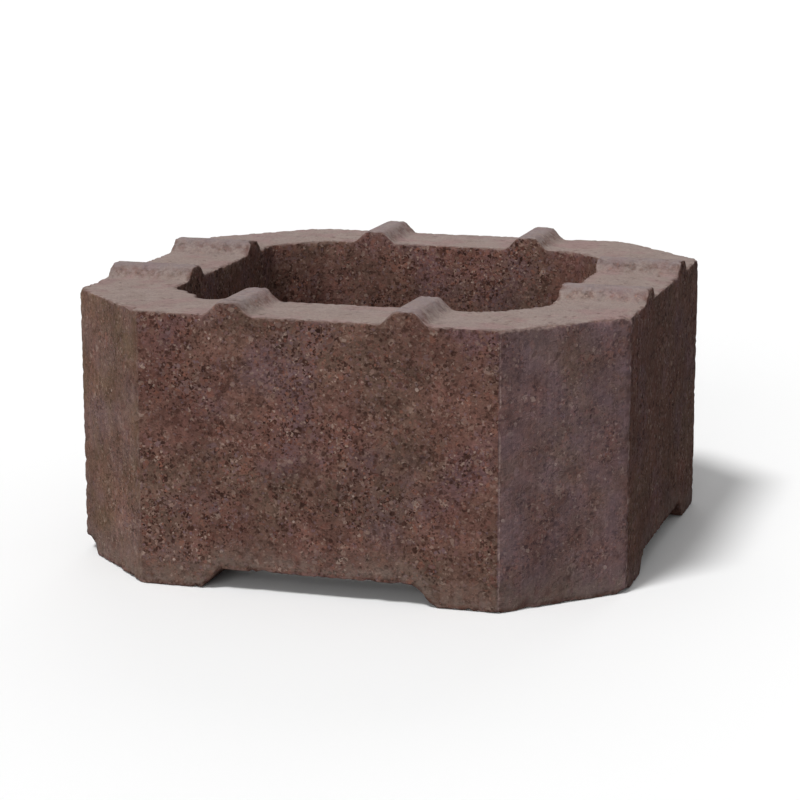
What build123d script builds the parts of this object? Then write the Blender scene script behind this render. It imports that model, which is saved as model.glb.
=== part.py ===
from build123d import *
from math import hypot, radians, tan
import os

# Octagonal checker brick of fired magnesia, one solid pressed in a die.
# Eight walls stand in a ring round a flue. Four feet carry the brick, one at each corner, because
# the underside of each long wall is cut away between them. Two ridges cross the top of each long
# wall. They stand just inside the cut-out of the brick above, and so lock one course to the next.
# The origin is on the axis of the flue, level with the soles of the feet. +Z is up, and the long
# walls face X and Y.

# The ring, in millimetres
ACROSS_FLATS = 250.0  # outside width over two opposite long walls
HEIGHT = 120.0  # from the soles of the feet to the bedding face on top
WALL = 40.0  # thickness of all eight walls
CORNER_CUT = 45.0  # what the cut on each outer corner takes off either long wall
OUTER_CORNER_RADIUS = 2.5  # upright edges outside
FLUE_CORNER_RADIUS = 6.0  # upright edges in the flue

# The notch under each long wall, which leaves the feet
FOOT = 28.0  # length of a foot along the outer face of a long wall
NOTCH_DEPTH = 9.0  # from the soles up to its flat roof
NOTCH_FLANK = 45.0  # slope of its ends, in degrees
NOTCH_RADIUS = 3.0  # where the ends meet the roof and the soles

# The two ridges on top of each long wall, from its outer face through to the flue
RIDGE_CREST = 9.0  # width of the flat crest
RIDGE_HEIGHT = 5.5  # crest over the bedding face
RIDGE_FLANK = 45.0  # slope of its sides, in degrees
RIDGE_CREST_RADIUS = 3.0
RIDGE_FOOT_RADIUS = 4.0
LOCK_PLAY = 3.3  # gap along the wall between a ridge and the foot of the brick above

ARRIS = 1.0  # bevel between an upright face and the top or the underside
LEVEL = 1e-6  # the most that the normal of an upright face leans

flue_width = ACROSS_FLATS - 2 * WALL
# The corner walls are as thick as the long ones, which sets the cut on the corners of the flue.
flue_corner_cut = flue_width - (ACROSS_FLATS - CORNER_CUT) + hypot(WALL, WALL)
notch_mouth = ACROSS_FLATS - 2 * CORNER_CUT - 2 * FOOT
notch_roof = notch_mouth - 2 * NOTCH_DEPTH / tan(radians(NOTCH_FLANK))
ridge_base = RIDGE_CREST + 2 * RIDGE_HEIGHT / tan(radians(RIDGE_FLANK))
ridge_offset = (notch_mouth - ridge_base) / 2 - LOCK_PLAY


def cut_square(width, cut, radius):
    """A square with each corner cut off, and the eight corners that this leaves then rounded."""
    octagon = chamfer(Rectangle(width, width).vertices(), cut)
    return fillet(octagon.vertices(), radius)


def ring():
    """The eight walls, before anything is cut under them or raised on them."""
    outline = cut_square(ACROSS_FLATS, CORNER_CUT, OUTER_CORNER_RADIUS)
    flue = cut_square(flue_width, flue_corner_cut, FLUE_CORNER_RADIUS)
    return extrude(outline - flue, HEIGHT)


def bar_profile(foot, top, rise, foot_radius, top_radius):
    """End view of a flat-topped bar with sloping sides, blended into the strip it stands on.

    The strip lies below y = 0 and is a little wider than the blends on either side.
    """
    blend = foot_radius
    reach = foot / 2 + blend
    outline = [(reach, -blend), (reach, 0), (foot / 2, 0), (top / 2, rise)]
    mirrored = [(-x, y) for x, y in reversed(outline)]
    profile = make_face(Polyline(*outline, *mirrored, close=True))
    crest = profile.vertices().filter_by(lambda v: v.Y > rise / 2)
    profile = fillet(crest, top_radius)
    inner = profile.vertices().filter_by(lambda v: abs(v.Y) < blend / 2 and abs(v.X) < reach - blend / 2)
    return fillet(inner, foot_radius)


def through_front_wall(profile, level):
    """A profile drawn in the front elevation at that level, run through the front wall."""
    flue_face = Plane(origin=(0, -flue_width / 2, level), x_dir=(1, 0, 0), z_dir=(0, -1, 0))
    return extrude(flue_face * profile, WALL)


def notch():
    """The cut-out under the front wall."""
    profile = bar_profile(notch_mouth, notch_roof, NOTCH_DEPTH, NOTCH_RADIUS, NOTCH_RADIUS)
    return through_front_wall(profile, 0)


def ridge():
    """One ridge in the middle of the front wall."""
    profile = bar_profile(ridge_base, RIDGE_CREST, RIDGE_HEIGHT, RIDGE_FOOT_RADIUS, RIDGE_CREST_RADIUS)
    return through_front_wall(profile, HEIGHT)


def arrises(solid):
    """The edges of the upright faces, apart from the upright edges themselves."""
    upright = solid.faces().filter_by(lambda face: abs(face.normal_at().Z) < LEVEL)
    return upright.edges().filter_by(Axis.Z, reverse=True)


def brick():
    solid = ring()
    for quarter in range(4):
        turned = Rot(0, 0, 90 * quarter)
        solid -= turned * notch()
        for side in (-1, 1):
            solid += turned * Pos(side * ridge_offset, 0, 0) * ridge()
    return solid.chamfer(ARRIS, None, arrises(solid))


if __name__ == "__main__":
    os.makedirs("parts", exist_ok=True)
    export_step(brick(), "parts/brick.step")
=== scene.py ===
import math

import bpy
import numpy as np
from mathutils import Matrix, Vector, noise


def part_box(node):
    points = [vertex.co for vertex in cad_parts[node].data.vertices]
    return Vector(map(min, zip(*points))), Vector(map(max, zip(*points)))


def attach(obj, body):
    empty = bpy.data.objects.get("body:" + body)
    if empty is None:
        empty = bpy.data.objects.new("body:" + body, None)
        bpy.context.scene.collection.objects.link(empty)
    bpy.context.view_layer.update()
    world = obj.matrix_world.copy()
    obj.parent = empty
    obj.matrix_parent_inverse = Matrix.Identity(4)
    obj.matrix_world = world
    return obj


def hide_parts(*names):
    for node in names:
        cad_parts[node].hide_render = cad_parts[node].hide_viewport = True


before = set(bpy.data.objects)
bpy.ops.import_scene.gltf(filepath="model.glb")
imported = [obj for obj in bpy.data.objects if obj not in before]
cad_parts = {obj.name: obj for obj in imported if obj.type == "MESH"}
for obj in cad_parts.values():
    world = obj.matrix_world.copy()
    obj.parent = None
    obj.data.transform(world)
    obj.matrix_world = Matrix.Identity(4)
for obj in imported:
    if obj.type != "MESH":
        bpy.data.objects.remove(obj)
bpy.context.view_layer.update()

# The brick is one block of magnesia grain in a brown matrix, pressed in a steel die and then fired
# until the grains sinter. Its flat faces keep the die's shape. Its arrises have crumbled a little in
# handling, and its top is rubbed to a pale, dusty grey.
MM = 0.001
node_low, node_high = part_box("brick")
RIDGE_HEIGHT = 5.5 * MM
ACROSS_FLATS = node_high.x - node_low.x
HEIGHT = node_high.z - RIDGE_HEIGHT  # from the soles of the feet to the bedding face on top
WALL = 40 * MM
CORNER_CUT = 45 * MM  # what the cut on each outer corner takes off either long wall
OUTER_CORNER_RADIUS = 2.5 * MM
FLUE_CORNER_RADIUS = 6 * MM
FOOT = 28 * MM  # length of a foot along the outer face of a long wall
NOTCH_DEPTH = 9 * MM
NOTCH_RADIUS = 3 * MM
RIDGE_CREST = 9 * MM
RIDGE_CREST_RADIUS = 3 * MM
RIDGE_FOOT_RADIUS = 4 * MM
LOCK_PLAY = 3.3 * MM  # how far inside the mouth of the notch a ridge stands
EIGHTH_TURN = math.radians(45)  # between two walls, and the slope of the ridges and of the notch's ends
BLEND_REACH = math.tan(EIGHTH_TURN / 2)  # from the sharp corner to where its rounding ends, in radii

half_width = ACROSS_FLATS / 2
half_flue = half_width - WALL
flue_cut = 2 * half_flue - (ACROSS_FLATS - CORNER_CUT) + math.sqrt(2) * WALL
half_mouth = half_width - CORNER_CUT - FOOT
half_roof = half_mouth - NOTCH_DEPTH
ridge_half_base = RIDGE_CREST / 2 + RIDGE_HEIGHT
ridge_offset = half_mouth - ridge_half_base - LOCK_PLAY


def bank(distance, crest, foot, crest_radius, foot_radius):
    """Height over the foot of a bank that falls at 45 degrees, blended at its crest and its foot."""
    rise = foot - crest
    into_crest = np.clip(distance - crest + crest_radius * BLEND_REACH, 0, None)
    into_foot = np.clip(foot + foot_radius * BLEND_REACH - distance, 0, None)
    round_crest = rise - crest_radius + np.sqrt(np.clip(crest_radius**2 - into_crest**2, 0, None))
    round_foot = foot_radius - np.sqrt(np.clip(foot_radius**2 - into_foot**2, 0, None))
    slope = np.clip(foot - distance, 0, rise)
    blend_end = math.sin(EIGHTH_TURN)
    height = np.where(into_crest < crest_radius * blend_end, round_crest, slope)
    return np.where(into_foot < foot_radius * blend_end, round_foot, height)


# Stations run round the ring. Each has a point on the outer face, the point of the flue across the
# wall from it, and the heights of the top and of the underside there.
LONG_SPACING = 1.62 * MM
SQUARE_REACH = 55 * MM  # the stations over the ridges and the notch lie square to the wall
END_STATIONS = 12  # from there to the corner, where they fan out
CORNER_WALL_STATIONS = 34
TURN_STATIONS = 4

outer_end = half_width - CORNER_CUT - OUTER_CORNER_RADIUS * BLEND_REACH
flue_end = half_flue - flue_cut - FLUE_CORNER_RADIUS * BLEND_REACH
square = np.linspace(-SQUARE_REACH, SQUARE_REACH, round(2 * SQUARE_REACH / LONG_SPACING))
outer_fan = np.linspace(SQUARE_REACH, outer_end, END_STATIONS + 1)[1:]
flue_fan = np.linspace(SQUARE_REACH, flue_end, END_STATIONS + 1)[1:]
along_outer = np.concatenate([-outer_fan[::-1], square, outer_fan])
along_flue = np.concatenate([-flue_fan[::-1], square, flue_fan])


def quarter_path(along, end, half, radius):
    """The front wall and the corner wall on its right, seen from above, with the corners rounded."""
    def turn(x, y, start):
        """The rounding of a corner, from the angle at which it starts."""
        angles = start + np.linspace(0, EIGHTH_TURN, TURN_STATIONS + 2)[1:-1]
        return np.stack([x + radius * np.cos(angles), y + radius * np.sin(angles)], 1)

    diagonal = radius * math.sin(EIGHTH_TURN)
    start = np.array([end + diagonal, radius - half - diagonal])
    across = np.linspace(0, 1, CORNER_WALL_STATIONS)[:, None]
    return np.concatenate([
        np.stack([along, np.full_like(along, -half)], 1),
        turn(end, radius - half, -2 * EIGHTH_TURN),
        start + across * (-start[::-1] - start),
        turn(half - radius, -end, -EIGHTH_TURN)])


outer_quarter = quarter_path(along_outer, outer_end, half_width, OUTER_CORNER_RADIUS)
flue_quarter = quarter_path(along_flue, flue_end, half_flue, FLUE_CORNER_RADIUS)
long_count, quarter_count = len(along_outer), len(outer_quarter)

from_ridge = np.abs(np.abs(along_flue) - ridge_offset)
ridge_rise = bank(from_ridge, RIDGE_CREST / 2, ridge_half_base, RIDGE_CREST_RADIUS, RIDGE_FOOT_RADIUS)
notch_rise = bank(np.abs(along_flue), half_roof, half_mouth, NOTCH_RADIUS, NOTCH_RADIUS)
corner_rise = np.zeros(quarter_count - long_count)  # the corner walls have no ridge and no notch
top_quarter = HEIGHT + np.concatenate([ridge_rise, corner_rise])
sole_quarter = np.concatenate([notch_rise, corner_rise])

outer_path, flue_path = [], []
for quarter in range(4):
    turned = quarter * 2 * EIGHTH_TURN
    spin = np.array([[math.cos(turned), math.sin(turned)], [-math.sin(turned), math.cos(turned)]])
    outer_path.append(outer_quarter @ spin)
    flue_path.append(flue_quarter @ spin)
outer_path, flue_path = np.concatenate(outer_path), np.concatenate(flue_path)
top_height, sole_height = np.tile(top_quarter, 4), np.tile(sole_quarter, 4)
stations = len(outer_path)

# Rows run round the wall's section at each station: up the outer face, across the top, down the flue
# and back across the underside, with a few rows round each arris. Two triangles for each station and
# row make about 179,000.
OUTER_ROWS = 66
TOP_ROWS = 27
FLUE_ROWS = 42
UNDER_ROWS = 12
ARRIS_ROWS = 5
ARRIS_RADIUS = 0.9 * MM
ARRIS_CHANGE = 0.45  # how far the radius strays along an arris, as a share of it
ARRIS_LENGTH = 22 * MM  # over which it does so


def stray(points, size, octaves=2):
    """Smooth random values round 0 at the points, alike over about the given size."""
    fading, refining = 1.0, 2.0  # each octave is half as strong as the last one, and half its size
    return np.array([noise.fractal(Vector(point) / size, fading, refining, octaves) for point in points])


def arris_radii(path, height):
    """The radius of an arris at each station."""
    points = np.column_stack([path, height])
    return ARRIS_RADIUS * (1 + ARRIS_CHANGE * np.clip(stray(points, ARRIS_LENGTH), -1, 1))


across_wall = outer_path - flue_path
wall_length = np.linalg.norm(across_wall, axis=1)
outward = across_wall / wall_length[:, None]
rows, arris_row = [], []


def face_rows(start_across, start_height, end_across, end_height, count):
    """Rows between two lines of the section, given as distances out from the flue and heights."""
    for step in np.linspace(0, 1, count + 2)[1:-1]:
        across = start_across + step * (end_across - start_across)
        rows.append((across, start_height + step * (end_height - start_height)))
        arris_row.append(False)


def round_arris(across, height, radius, start):
    """Rows round an arris, from the angle at which its rounding starts."""
    for angle in np.linspace(start, start + math.pi / 2, ARRIS_ROWS):
        rows.append((across + radius * math.cos(angle), height + radius * math.sin(angle)))
        arris_row.append(True)


top_outer = arris_radii(outer_path, top_height)
top_flue = arris_radii(flue_path, top_height)
sole_flue = arris_radii(flue_path, sole_height)
sole_outer = arris_radii(outer_path, sole_height)
face_rows(wall_length, sole_height + sole_outer, wall_length, top_height - top_outer, OUTER_ROWS)
round_arris(wall_length - top_outer, top_height - top_outer, top_outer, 0)
face_rows(wall_length - top_outer, top_height, top_flue, top_height, TOP_ROWS)
round_arris(top_flue, top_height - top_flue, top_flue, math.pi / 2)
face_rows(0 * top_flue, top_height - top_flue, 0 * top_flue, sole_height + sole_flue, FLUE_ROWS)
round_arris(sole_flue, sole_height + sole_flue, sole_flue, math.pi)
face_rows(sole_flue, sole_height, wall_length - sole_outer, sole_height, UNDER_ROWS)
round_arris(wall_length - sole_outer, sole_height + sole_outer, sole_outer, 3 * math.pi / 2)

grid = np.zeros((len(rows), stations, 3))
for row, (across, height) in enumerate(rows):
    grid[row, :, :2] = flue_path + across[:, None] * outward
    grid[row, :, 2] = height
shape = grid.reshape(-1, 3)

row_index, station_index = np.meshgrid(np.arange(len(rows)), np.arange(stations), indexing="ij")
next_row, next_station = (row_index + 1) % len(rows), (station_index + 1) % stations
corners = (
    (row_index, station_index), (row_index, next_station),
    (next_row, next_station), (next_row, station_index))
quads = np.stack([row * stations + station for row, station in corners], -1).reshape(-1, 4)

mesh = bpy.data.meshes.new("checker_brick")
mesh.from_pydata(shape.tolist(), [], quads.tolist())
mesh.update()
normals = np.zeros(3 * len(shape))
mesh.vertex_normals.foreach_get("vector", normals)
normals = normals.reshape(-1, 3)

# Relief of the pressed faces, all of it inwards from the die's planes.
WAVE_LENGTH = 45 * MM
WAVE_DEPTH = 0.25 * MM
GRAIN_LENGTH = 5 * MM
GRAIN_DEPTH = 0.16 * MM
shape = shape - normals * (WAVE_DEPTH * (0.5 + 0.5 * stray(shape, WAVE_LENGTH)))[:, None]
shape = shape - normals * (GRAIN_DEPTH * np.abs(stray(shape, GRAIN_LENGTH, octaves=3)))[:, None]

# Grains that broke out of the arrises and faces leave hollows with the curve of a ball.
station_index, row_index = station_index.ravel(), row_index.ravel()
in_quarter = station_index % quarter_count
middle_outer_arris = OUTER_ROWS + ARRIS_ROWS // 2
is_outer = row_index < middle_outer_arris
is_corner_wall = is_outer & (in_quarter >= long_count)
WORN_BAND = (0.3, 1.0, 1.0, 0.3)  # how far each station in an upright arris is in its worn band
turn_share = np.zeros(quarter_count)
turn_share[long_count:long_count + TURN_STATIONS] = WORN_BAND
turn_share[quarter_count - TURN_STATIONS:] = WORN_BAND
is_arris = np.array(arris_row)[row_index]
is_upright_arris = is_outer & (turn_share[in_quarter] > 0)
is_face = ~is_arris & ~is_upright_arris
random = np.random.default_rng(seed=41)
# Each line: how many, where, the least and most of the ball's radius, and of the hollow's depth.
BREAKS = (
    (2600, is_arris, 1.0 * MM, 2.4 * MM, 0.10 * MM, 0.45 * MM),
    (230, is_arris, 2.0 * MM, 4.5 * MM, 0.3 * MM, 1.1 * MM),
    (18, is_arris, 5.0 * MM, 10.0 * MM, 0.9 * MM, 2.2 * MM),
    (700, is_upright_arris, 1.0 * MM, 2.5 * MM, 0.08 * MM, 0.40 * MM),
    (40, is_upright_arris, 2.0 * MM, 4.0 * MM, 0.3 * MM, 0.8 * MM),
    (1100, is_face, 1.2 * MM, 2.4 * MM, 0.2 * MM, 0.7 * MM),
)
breaks = []
for count, where, least_ball, most_ball, least_depth, most_depth in BREAKS:
    for start in random.choice(np.flatnonzero(where), count):
        breaks.append((start, random.uniform(least_ball, most_ball), random.uniform(least_depth, most_depth)))

# The foot at the front left has lost its corner, in two breaks.
# Each line: how many stations from the corner, the ball's radius, and the hollow's depth.
LOST_CORNER = (-half_width, CORNER_CUT - half_width, 0)
LOST_CORNER_BREAKS = (
    (0, 16 * MM, 3.0 * MM),
    (3, 9 * MM, 2.2 * MM),
)
lost = np.argmin(((shape - LOST_CORNER)**2).sum(1))
breaks += [(lost + along, ball, depth) for along, ball, depth in LOST_CORNER_BREAKS]

broken = np.zeros(len(shape))
for start, ball, depth in breaks:
    centre = shape[start] + normals[start] * (ball - depth)
    offset = shape - centre
    distance = np.sqrt((offset**2).sum(1))
    inside = distance < ball
    broken[inside] = np.maximum(broken[inside], (ball - distance[inside]) / depth)
    shape[inside] = centre + offset[inside] * (ball / distance[inside])[:, None]
shape = np.clip(shape, np.array(node_low), np.array(node_high))
mesh.vertices.foreach_set("co", shape.ravel())
mesh.update()


def keep_mask(name, values):
    """Keeps a value from 0 to 1 at every vertex, which the material reads by its name."""
    mesh.attributes.new(name, "FLOAT", "POINT").data.foreach_set("value", np.clip(values, 0, 1))


# For each corner wall, from the front right one anticlockwise as seen from above: its colour, from olive 0 to
# lilac 1, and how worn its two upright arrises are. The lilac of the front right wall and the olive of the
# front left one are partly painted light, standing in for bluish light on the right and warm light on the
# left.
CORNER_TONES_AND_LIGHT_TINTS = (1.0, 0.55, 0.8, 0.15)
UPRIGHT_WEAR = (0.75, 0.4, 0.5, 0.3)
EDGE_WEAR = 0.28  # how worn all other arrises are
DUSTY_HEIGHT = 15 * MM  # how far up from the lower edge dust clings to the outer face
quarter_index = station_index // quarter_count
above_sole = (shape[:, 2] - sole_height[station_index]) / DUSTY_HEIGHT
on_top = np.zeros(len(rows))
middle_flue_arris = middle_outer_arris + ARRIS_ROWS + TOP_ROWS
on_top[middle_outer_arris:middle_flue_arris + 1] = 1
up_ridge = (top_height - HEIGHT) / RIDGE_HEIGHT
on_slope = 4 * up_ridge * (1 - up_ridge)  # 1 halfway up, 0 on the crest and beside the ridge
keep_mask("bedding_face", on_top[row_index])
keep_mask("ridge_flank", on_top[row_index] * on_slope[station_index])
keep_mask("arris", np.maximum(is_arris, is_outer * turn_share[in_quarter]))
keep_mask("wear", np.where(is_corner_wall, np.array(UPRIGHT_WEAR)[quarter_index], EDGE_WEAR))
keep_mask("hollow", broken)
keep_mask("lower_edge", is_outer * (1 - above_sole))
keep_mask("corner_wall", is_corner_wall)
keep_mask("corner_tone_and_light_tint", np.array(CORNER_TONES_AND_LIGHT_TINTS)[quarter_index])

# Slow changes over the brick, each from 0 to 1 and back over about that size.
CLOUDS = {
    "olive": 34 * MM, "lilac": 30 * MM, "crowd": 24 * MM, "pitted": 20 * MM,
    "skin_tone": 16 * MM, "skin_share": 14 * MM,
    "shade": 38 * MM, "small_shade": 11 * MM, "pink": 12 * MM, "thin_dust": 9 * MM}
CLOUD_OCTAVES = 3
CLOUD_SPREAD = 1.5  # how many standard deviations either side of the middle reach 0 and 1
for name, size in CLOUDS.items():
    cloud = stray(shape + random.uniform(0, 1, 3), size, CLOUD_OCTAVES)
    keep_mask(name, 0.5 + (cloud - cloud.mean()) / (2 * CLOUD_SPREAD * cloud.std()))

brick = bpy.data.objects.new("checker_brick", mesh)
bpy.context.scene.collection.objects.link(brick)
mesh.shade_smooth()


def linear(code):
    """An sRGB hex colour as Blender's linear values."""
    parts = [int(code[i:i + 2], 16) / 255 for i in (1, 3, 5)]
    return tuple(p / 12.92 if p <= 0.04045 else ((p + 0.055) / 1.055) ** 2.4 for p in parts) + (1,)


def add(tree, kind, inputs=None, **settings):
    """Adds a node with its settings, and gives each input a value, a hex colour, or another node's output."""
    node = tree.nodes.new("ShaderNode" + kind)
    for name, value in settings.items():
        setattr(node, name, value)
    for name, value in (inputs or {}).items():
        by_name = (socket for socket in node.inputs if socket.enabled and socket.name == name)
        socket = node.inputs[name] if isinstance(name, int) else next(by_name)
        if isinstance(value, bpy.types.Node):
            value = next(output for output in value.outputs if output.enabled)
        if isinstance(value, bpy.types.NodeSocket):
            tree.links.new(value, socket)
        else:
            socket.default_value = linear(value) if isinstance(value, str) else value
    return node


# Fired magnesia, pressed: a dry, open surface of crushed grains up to 5 mm across in a brown matrix.
# It has almost no gloss, and its colour drifts between red brown, olive brown and lilac grey.
fired = bpy.data.materials.new("fired_magnesia_pressed_face")
fired.use_nodes = True
tree = fired.node_tree
tree.nodes.clear()
where = add(tree, "TexCoord").outputs["Object"]
# Every value kept at the vertices, by its name.
mask = {
    kept.name: add(tree, "Attribute", attribute_name=kept.name).outputs["Fac"]
    for kept in mesh.attributes if kept.data_type == "FLOAT" and kept.domain == "POINT"}


def drift(size, low, high, levels, seed, stretch=(1, 1, 1)):
    """Drifts from low to high over about that size, as a cloud of noise rises through the two levels."""
    place = add(tree, "Mapping", {"Vector": where, "Location": [seed] * 3, "Scale": [1 / s for s in stretch]})
    cloud = add(tree, "TexNoise", {"Vector": place, "Scale": 1 / size, "Detail": 3, "Roughness": 0.6})
    return add(tree, "MapRange", {
        "Value": cloud, "From Min": levels[0], "From Max": levels[1], "To Min": low, "To Max": high})


# The matrix between the grains. Its hue changes slowly over the brick, and its shade changes from spot to
# spot: partly at random, and partly as painted shade, darker where the fine relief is low and lighter where
# it is high.
RED_BROWN, OLIVE_BROWN, LILAC_GREY = "#694a43", "#634e44", "#654f54"
FINE_GRAIN = 0.9 * MM
FINE_RELIEF = 2.2
lilac = add(tree, "MapRange", {"Value": mask["lilac"], "From Min": 0.5, "To Max": 0.6})
matrix = add(tree, "Mix", {"Factor": mask["olive"], "A": RED_BROWN, "B": OLIVE_BROWN}, data_type="RGBA")
colour = add(tree, "Mix", {"Factor": lilac, "A": matrix, "B": LILAC_GREY}, data_type="RGBA")
fine = add(tree, "TexNoise", {"Vector": where, "Scale": 1 / FINE_GRAIN, "Detail": 4, "Roughness": 0.7})
# Painted shade: this comes from the same noise as the fine relief, so its low spots are painted darker and
# its high ones lighter.
relief_shade = add(tree, "MapRange", {
    "Value": fine, "From Min": 0.3, "From Max": 0.7, "To Min": 0.80, "To Max": 1.20})
for shade in (relief_shade, drift(3.2 * MM, 0.70, 1.30, levels=(0.3, 0.7), seed=27)):
    colour = add(tree, "VectorMath", {0: colour, "Scale": shade}, operation="SCALE")
relief = add(tree, "Math", {0: fine, 1: FINE_RELIEF}, operation="MULTIPLY")

# The grains were crushed, so their outlines are broken and uneven. They are crowded in some places,
# and fewer show on the corner walls.
JAG_LENGTH = 1.6 * MM
JAG_DEPTH = 0.9 * MM
jag = add(tree, "TexNoise", {"Vector": where, "Scale": 1 / JAG_LENGTH, "Detail": 1})
centred = add(tree, "VectorMath", {0: jag.outputs["Color"], 1: (0.5, 0.5, 0.5)}, operation="SUBTRACT")
jagged = add(tree, "VectorMath", {0: centred, 1: (JAG_DEPTH,) * 3, 2: where}, operation="MULTIPLY_ADD")
calm = add(tree, "MapRange", {"Value": mask["corner_wall"], "To Min": 1.0, "To Max": 0.9})
crowd = add(tree, "MapRange", {"Value": mask["crowd"], "To Min": 0.6, "To Max": 1.2})
crowd = add(tree, "Math", {0: crowd, 1: calm}, operation="MULTIPLY")

# Colours of the grains, from the darkest to the palest. The number is where on the scale each stands.
GRAIN_COLOURS = (
    (0.00, "#32211d"), (0.28, "#48312a"), (0.42, "#69453d"), (0.55, "#6e584e"), (0.68, "#7c5346"),
    (0.80, "#6b5659"), (0.93, "#836a5f"), (1.00, "#958075"))
# Each line: the spacing, the share of the places that hold a grain, and how much it stands out in
# colour and in relief. The smallest are too fine for a relief of their own.
GRAINS = (
    (4.4 * MM, 0.34, 0.62, 0.9),
    (2.6 * MM, 0.46, 0.82, 0.8),
    (1.6 * MM, 0.50, 0.88, 0.6),
    (1.0 * MM, 0.50, 0.85, 0.0),
)
for spacing, share, strength, lift in GRAINS:
    # Each cell may hold one grain. The gap round it and its soft rim are shares of the spacing.
    cells = add(tree, "TexVoronoi", {"Vector": jagged, "Scale": 1 / spacing})
    edges = add(tree, "TexVoronoi", {"Vector": jagged, "Scale": 1 / spacing}, feature="DISTANCE_TO_EDGE")
    kind, here, size = add(tree, "SeparateColor", {0: cells.outputs["Color"]}).outputs
    held = add(tree, "Math", {0: here, 1: share}, operation="LESS_THAN")
    gap = add(tree, "MapRange", {"Value": size, "To Min": 0.03, "To Max": 0.22})
    inside = add(tree, "Math", {0: edges, 1: gap}, operation="SUBTRACT")
    outline = add(tree, "MapRange", {"Value": inside, "From Min": -0.03, "From Max": 0.06})
    grain = add(tree, "Math", {0: outline, 1: held}, operation="MULTIPLY")
    kinds = add(tree, "ValToRGB", {0: kind})
    ramp = kinds.color_ramp
    while len(ramp.elements) < len(GRAIN_COLOURS):
        ramp.elements.new(1)
    for element, (start, code) in zip(ramp.elements, GRAIN_COLOURS):
        element.position, element.color = start, linear(code)
    shown_crowd = add(tree, "Math", {0: crowd, 1: strength}, operation="MULTIPLY")
    shown_grain = add(tree, "Math", {0: grain, 1: shown_crowd}, operation="MULTIPLY")
    colour = add(tree, "Mix", {"Factor": shown_grain, "A": colour, "B": kinds}, data_type="RGBA")
    if lift:
        stand = add(tree, "MapRange", {"Value": size, "To Min": -lift, "To Max": lift})
        relief = add(tree, "Math", {0: grain, 1: stand, 2: relief}, operation="MULTIPLY_ADD")

# Small grains fell out of the brick's face in clusters and left pits. Their dark brown is painted shade
# inside the pits.
PIT_SHADE_BROWN = "#38251f"
PIT_SPACING = 4.0 * MM
PIT_RELIEF = -1.5
pits = add(tree, "TexVoronoi", {"Vector": jagged, "Scale": 1 / PIT_SPACING})
chance = add(tree, "SeparateColor", {0: pits.outputs["Color"]})
pit_radius = add(tree, "MapRange", {"Value": chance, "To Min": 0.08, "To Max": 0.36})
cluster = add(tree, "Math", {0: mask["pitted"], 1: calm}, operation="MULTIPLY")
pit_radius = add(tree, "Math", {0: pit_radius, 1: cluster}, operation="MULTIPLY")
within = add(tree, "Math", {0: pit_radius, 1: pits.outputs["Distance"]}, operation="SUBTRACT")
pit = add(tree, "MapRange", {"Value": within, "From Min": -0.03, "From Max": 0.12})
# Painted shade: how dark the shade painted into each pit is.
pit_shade_strength = drift(2 * MM, 0.35, 0.85, levels=(0.3, 0.6), seed=31)
shown_pit_shade = add(tree, "Math", {0: pit, 1: pit_shade_strength}, operation="MULTIPLY")
colour = add(tree, "Mix", {"Factor": shown_pit_shade, "A": colour, "B": PIT_SHADE_BROWN}, data_type="RGBA")
relief = add(tree, "Math", {0: pit, 1: PIT_RELIEF, 2: relief}, operation="MULTIPLY_ADD")

# A few grains of clean magnesia show as white specks.
CLEAN_MAGNESIA = "#a8948a"
SPECK_SPACING = 9 * MM
SPECK_STRENGTH = 0.75
specks = add(tree, "TexVoronoi", {"Vector": jagged, "Scale": 1 / SPECK_SPACING})
chance = add(tree, "SeparateColor", {0: specks.outputs["Color"]})
speck_radius = add(tree, "MapRange", {"Value": chance, "From Min": 0.5, "To Max": 0.10})
speck = add(tree, "Math", {0: specks.outputs["Distance"], 1: speck_radius}, operation="LESS_THAN")
speck = add(tree, "Math", {0: speck, 1: SPECK_STRENGTH}, operation="MULTIPLY")
colour = add(tree, "Mix", {"Factor": speck, "A": colour, "B": CLEAN_MAGNESIA}, data_type="RGBA")

# The corner walls slid on other plates of the die. They are greyer, more olive in some places and more lilac
# in others, with faint upright drag marks. Their lighter colour and their tint are partly painted light:
# lilac as painted bluish light on the front right wall, and olive as painted warm light on the front left
# one.
OLIVE_SKIN_AND_WARM_LIGHT, LILAC_SKIN_AND_BLUISH_LIGHT = "#6b5b49", "#7a676d"
# Painted light: the olive and lilac mixed in here are partly warm and bluish light painted on the corner
# walls.
tone_and_light_tint = add(tree, "MapRange", {"Value": mask["skin_tone"], "To Min": -0.3, "To Max": 0.3})
tone_and_light_tint = add(tree, "Math", {0: tone_and_light_tint, 1: mask["corner_tone_and_light_tint"]}, operation="ADD")
skin_and_light_tint = add(tree, "Mix", {"Factor": tone_and_light_tint, "A": OLIVE_SKIN_AND_WARM_LIGHT, "B": LILAC_SKIN_AND_BLUISH_LIGHT}, data_type="RGBA")
skin_share = add(tree, "MapRange", {"Value": mask["corner_tone_and_light_tint"], "To Min": 0.48, "To Max": 0.55})
uneven = add(tree, "MapRange", {"Value": mask["skin_share"], "To Min": 0.4, "To Max": 1.0})
for share in (uneven, mask["corner_wall"]):
    skin_share = add(tree, "Math", {0: skin_share, 1: share}, operation="MULTIPLY")
colour = add(tree, "Mix", {"Factor": skin_share, "A": colour, "B": skin_and_light_tint}, data_type="RGBA")
drag = drift(1.6 * MM, 0.92, 1.08, levels=(0.35, 0.65), seed=13, stretch=(1, 1, 25))
drag = add(tree, "Mix", {"Factor": mask["corner_wall"], "A": 1.0, "B": drag})
colour = add(tree, "VectorMath", {0: colour, "Scale": drag}, operation="SCALE")

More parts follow.
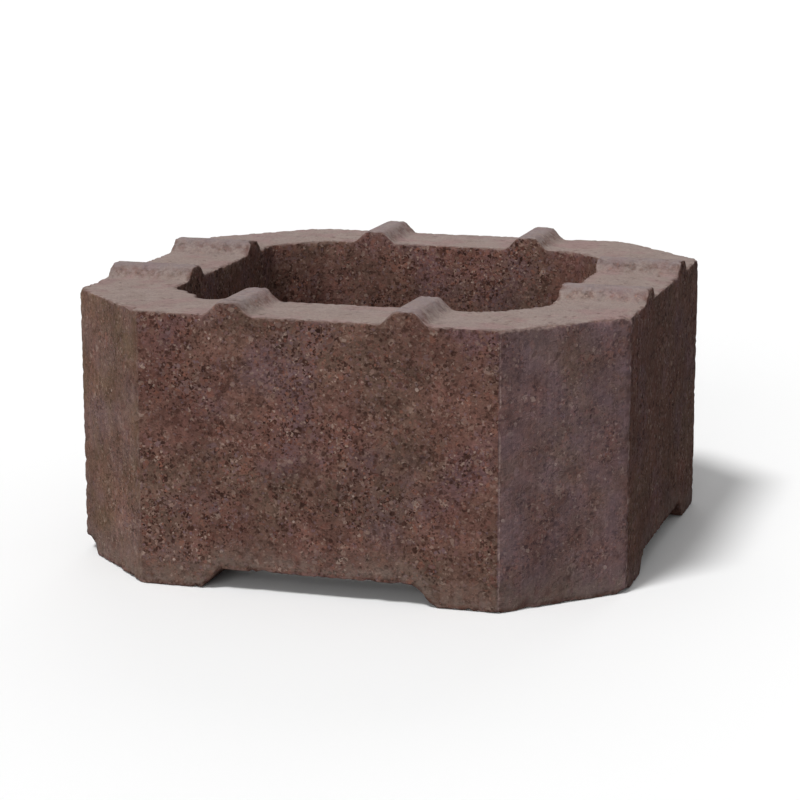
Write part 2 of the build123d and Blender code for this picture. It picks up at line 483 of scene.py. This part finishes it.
# The kiln left the brick darker in some places than in others.
KILN_CHANGE = 0.11
for name in ("shade", "small_shade"):
    patch = add(tree, "MapRange", {"Value": mask[name], "To Min": 1 - KILN_CHANGE, "To Max": 1 + KILN_CHANGE})
    colour = add(tree, "VectorMath", {0: colour, "Scale": patch}, operation="SCALE")

# Grey dust clings above the lower edge of the outer face.
CLINGING_DUST = "#776860"
clinging = drift(4 * MM, 0.1, 0.95, levels=(0.35, 0.65), seed=21)
clinging = add(tree, "Math", {0: clinging, 1: mask["lower_edge"]}, operation="MULTIPLY")
colour = add(tree, "Mix", {"Factor": clinging, "A": colour, "B": CLINGING_DUST}, data_type="RGBA")

# The top is rubbed to a pale, dusty grey, which is pinker in places. Along the crests of the ridges it turns
# a cooler grey, which is partly the rubbed surface's own grey and partly painted sheen.
# The grains show through it faintly. It is thinner in hollows, and worn away in patches on the flanks
# of the ridges.
PALE_DUST, PINK_DUST, RIDGE_GREY_AND_SHEEN = "#948680", "#917172", "#847a7c"
CREST_START = 0.3  # how far up a ridge its cooler grey begins
height = add(tree, "SeparateXYZ", {0: where}).outputs["Z"]
# Painted sheen: the upper parts of the ridges are painted a cooler grey, in patches.
crest = add(tree, "MapRange", {
    "Value": height, "From Min": HEIGHT + CREST_START * RIDGE_HEIGHT, "From Max": HEIGHT + RIDGE_HEIGHT})
uneven_sheen = drift(5 * MM, 0, 0.8, levels=(0.2, 0.6), seed=23)
crest = add(tree, "Math", {0: crest, 1: uneven_sheen}, operation="MULTIPLY")
pink = add(tree, "MapRange", {"Value": mask["pink"], "From Min": 0.5, "To Max": 0.4})
dust = add(tree, "Mix", {"Factor": pink, "A": PALE_DUST, "B": PINK_DUST}, data_type="RGBA")
dust = add(tree, "Mix", {"Factor": crest, "A": dust, "B": RIDGE_GREY_AND_SHEEN}, data_type="RGBA")
rubs = drift(1.3 * MM, 0.93, 1.07, levels=(0.3, 0.7), seed=25, stretch=(9, 1, 1))
dust = add(tree, "VectorMath", {0: dust, "Scale": rubs}, operation="SCALE")
ragged = drift(2.5 * MM, 0, 0.6, levels=(0.3, 0.7), seed=17)
edge = add(tree, "Math", {0: ragged, 1: mask["bedding_face"]}, operation="ADD")
cover = add(tree, "MapRange", {"Value": edge, "From Min": 0.75, "From Max": 1.05})
showing = drift(1.1 * MM, 0.66, 0.95, levels=(0.30, 0.60), seed=7)
thin = add(tree, "MapRange", {"Value": mask["thin_dust"], "To Min": 0.86})
worn_off = drift(3.5 * MM, 0, 0.6, levels=(0.42, 0.60), seed=33)
worn_off = add(tree, "Math", {0: worn_off, 1: mask["ridge_flank"]}, operation="MULTIPLY")
left_on_flank = add(tree, "MapRange", {"Value": worn_off, "To Min": 1.0, "To Max": 0.0})
left_in_hollow = add(tree, "MapRange", {"Value": mask["hollow"], "To Min": 1.0, "To Max": 0.5})
for left in (showing, thin, left_on_flank, left_in_hollow):
    cover = add(tree, "Math", {0: cover, 1: left}, operation="MULTIPLY")
colour = add(tree, "Mix", {"Factor": cover, "A": colour, "B": dust}, data_type="RGBA")

# The arrises are worn paler in a broken line. Hollows are painted darker and redder, the more so the deeper
# they are.
WORN_ARRIS, DEEP_HOLLOW_COLOUR = "#9c8781", "#4d332d"
gaps = drift(3.5 * MM, -0.65, 0.2, levels=(0.35, 0.65), seed=9)
line = add(tree, "Math", {0: mask["arris"], 1: gaps}, operation="ADD")
worn = add(tree, "MapRange", {"Value": line, "From Min": 0.55, "From Max": 1.0})
worn = add(tree, "Math", {0: worn, 1: mask["wear"]}, operation="MULTIPLY")
colour = add(tree, "Mix", {"Factor": worn, "A": colour, "B": WORN_ARRIS}, data_type="RGBA")
# Darker and redder towards the bottom of each hollow.
by_depth = add(tree, "MapRange", {"Value": mask["hollow"], "To Max": 0.3})
colour = add(tree, "Mix", {"Factor": by_depth, "A": colour, "B": DEEP_HOLLOW_COLOUR}, data_type="RGBA")

# The open pores swallow what a smooth face would mirror, so hardly any gloss is left.
RELIEF_UNIT = 0.25 * MM  # how high 1 is in the relief values above
bump = add(tree, "Bump", {"Height": relief, "Distance": RELIEF_UNIT, "Strength": 1.0})
shader = add(tree, "BsdfPrincipled", {
    "Base Color": colour, "Roughness": 0.9, "IOR": 1.6, "Specular IOR Level": 0.02, "Diffuse Roughness": 0.5,
    "Normal": bump})
add(tree, "OutputMaterial", {"Surface": shader})
mesh.materials.append(fired)

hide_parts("brick")
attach(brick, "root")

# The floor is a wide, level studio floor, painted matt white, that the brick stands on. It is seen
# nearly white, but it throws back only as much light as a mid grey, so that the lower parts of the
# brick keep their shade.
FLOOR_HALF = 30.0  # metres, which puts its edge far out of sight
floor_mesh = bpy.data.meshes.new("floor")
floor_corners = [(x * FLOOR_HALF, y * FLOOR_HALF, 0) for x, y in ((-1, -1), (1, -1), (1, 1), (-1, 1))]
floor_mesh.from_pydata(floor_corners, [], [(0, 1, 2, 3)])
floor = bpy.data.objects.new("floor", floor_mesh)
bpy.context.scene.collection.objects.link(floor)


def looked_at(tree):
    """1 on a ray from the camera, straight or by way of a mirror or glass, and 0 on any other."""
    ray = add(tree, "LightPath").outputs
    looking = ray["Is Camera Ray"]
    for kind in ("Is Glossy Ray", "Is Transmission Ray"):
        looking = add(tree, "Math", {0: looking, 1: ray[kind]}, operation="MAXIMUM")
    return looking


paint = bpy.data.materials.new("matt_white_floor_paint")
paint.use_nodes = True
tree = paint.node_tree
tree.nodes.clear()
SEEN, THROWN_BACK = "#f1f1f1", "#707070"
floor_colour = add(tree, "Mix", {"Factor": looked_at(tree), "A": THROWN_BACK, "B": SEEN}, data_type="RGBA")
shader = add(tree, "BsdfDiffuse", {"Color": floor_colour})
add(tree, "OutputMaterial", {"Surface": shader})
floor_mesh.materials.append(paint)

# Plain soft light: a high lamp from the left, a low one from the front, a weak one from behind, and
# an even pale room, which is seen white.
ROOM_STRENGTH = 0.32
world = bpy.data.worlds.new("pale_room")
bpy.context.scene.world = world
world.use_nodes = True
tree = world.node_tree
tree.nodes.clear()
room = add(tree, "MapRange", {"Value": looked_at(tree), "To Min": ROOM_STRENGTH, "To Max": 1.0})
room = add(tree, "Background", {"Color": "#ffffff", "Strength": room})
add(tree, "OutputWorld", {"Surface": room})


def direction(azimuth, elevation):
    """The direction away from the brick. Azimuth 0 is in front, and a positive one to the right."""
    azimuth, elevation = math.radians(azimuth), math.radians(elevation)
    level = math.cos(elevation)
    return Vector((math.sin(azimuth) * level, -math.cos(azimuth) * level, math.sin(elevation)))


def lamp(name, azimuth, elevation, strength, softness):
    """A distant lamp in that direction, whose disc is as many degrees across as its softness."""
    data = bpy.data.lights.new(name, "SUN")
    data.energy = strength * math.pi
    data.angle = math.radians(softness)
    item = bpy.data.objects.new(name, data)
    bpy.context.scene.collection.objects.link(item)
    item.rotation_mode = "QUATERNION"
    item.rotation_quaternion = direction(azimuth, elevation).to_track_quat("Z", "Y")


lamp("high_lamp", azimuth=-25, elevation=62, strength=0.74, softness=14)
lamp("front_lamp", azimuth=-5, elevation=10, strength=0.54, softness=40)
lamp("rear_lamp", azimuth=-172, elevation=20, strength=0.28, softness=50)

# The camera stands where the photograph's stood, seen from the brick, with a longer lens. It looks
# at the middle of the brick.
CAMERA_AZIMUTH = 16.6
CAMERA_ELEVATION = 12.3
CAMERA_DISTANCE = 1.16
LENS = 112
aim = Vector((0, 0, HEIGHT / 2))
back = direction(CAMERA_AZIMUTH, CAMERA_ELEVATION)
camera_data = bpy.data.cameras.new("camera")
camera_data.lens = LENS
camera = bpy.data.objects.new("camera", camera_data)
camera.location = aim + CAMERA_DISTANCE * back
camera.rotation_mode = "QUATERNION"
camera.rotation_quaternion = back.to_track_quat("Z", "Y")
bpy.context.scene.collection.objects.link(camera)
bpy.context.scene.camera = camera

bpy.context.scene.view_settings.view_transform = "Standard"
